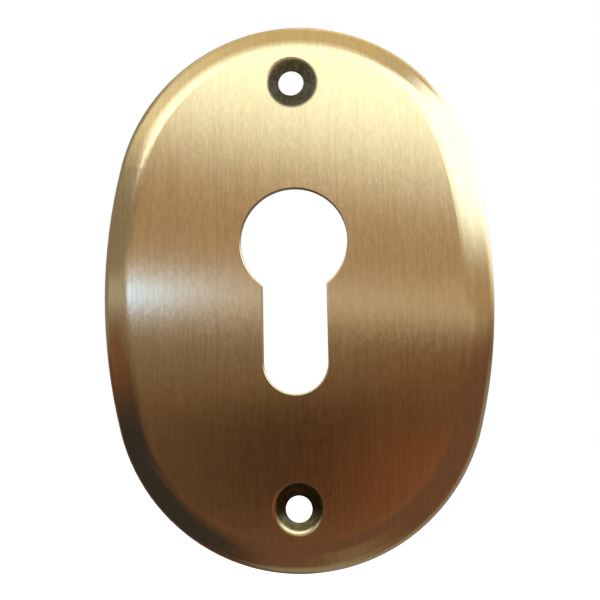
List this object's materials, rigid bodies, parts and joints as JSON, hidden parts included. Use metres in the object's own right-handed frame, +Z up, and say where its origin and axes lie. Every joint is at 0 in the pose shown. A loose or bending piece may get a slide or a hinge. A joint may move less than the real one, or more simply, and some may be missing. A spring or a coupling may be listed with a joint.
{
  "type": "keyhole escutcheon",
  "caption": "Oval plate pressed from brass sheet, with a bevelled rim, a keyhole for a profile lock cylinder and dimpled screw holes; trims a lock on the face of a door.",
  "frame": {"origin": "centre of the oval outline, on the door plane that the rim's edge rests against", "axes": "+Z up along the plate's height, +X to the right as the face is seen, +Y into the door; the face looks along -Y"},
  "size_m": [0.064, 0.0035, 0.09],
  "materials": {
    "brushed_brass": "antique brass, satin, brushed along the height"
  },
  "bodies": {
    "root": {"escutcheon_plate": "brushed_brass"}
  },
  "joints": []
}
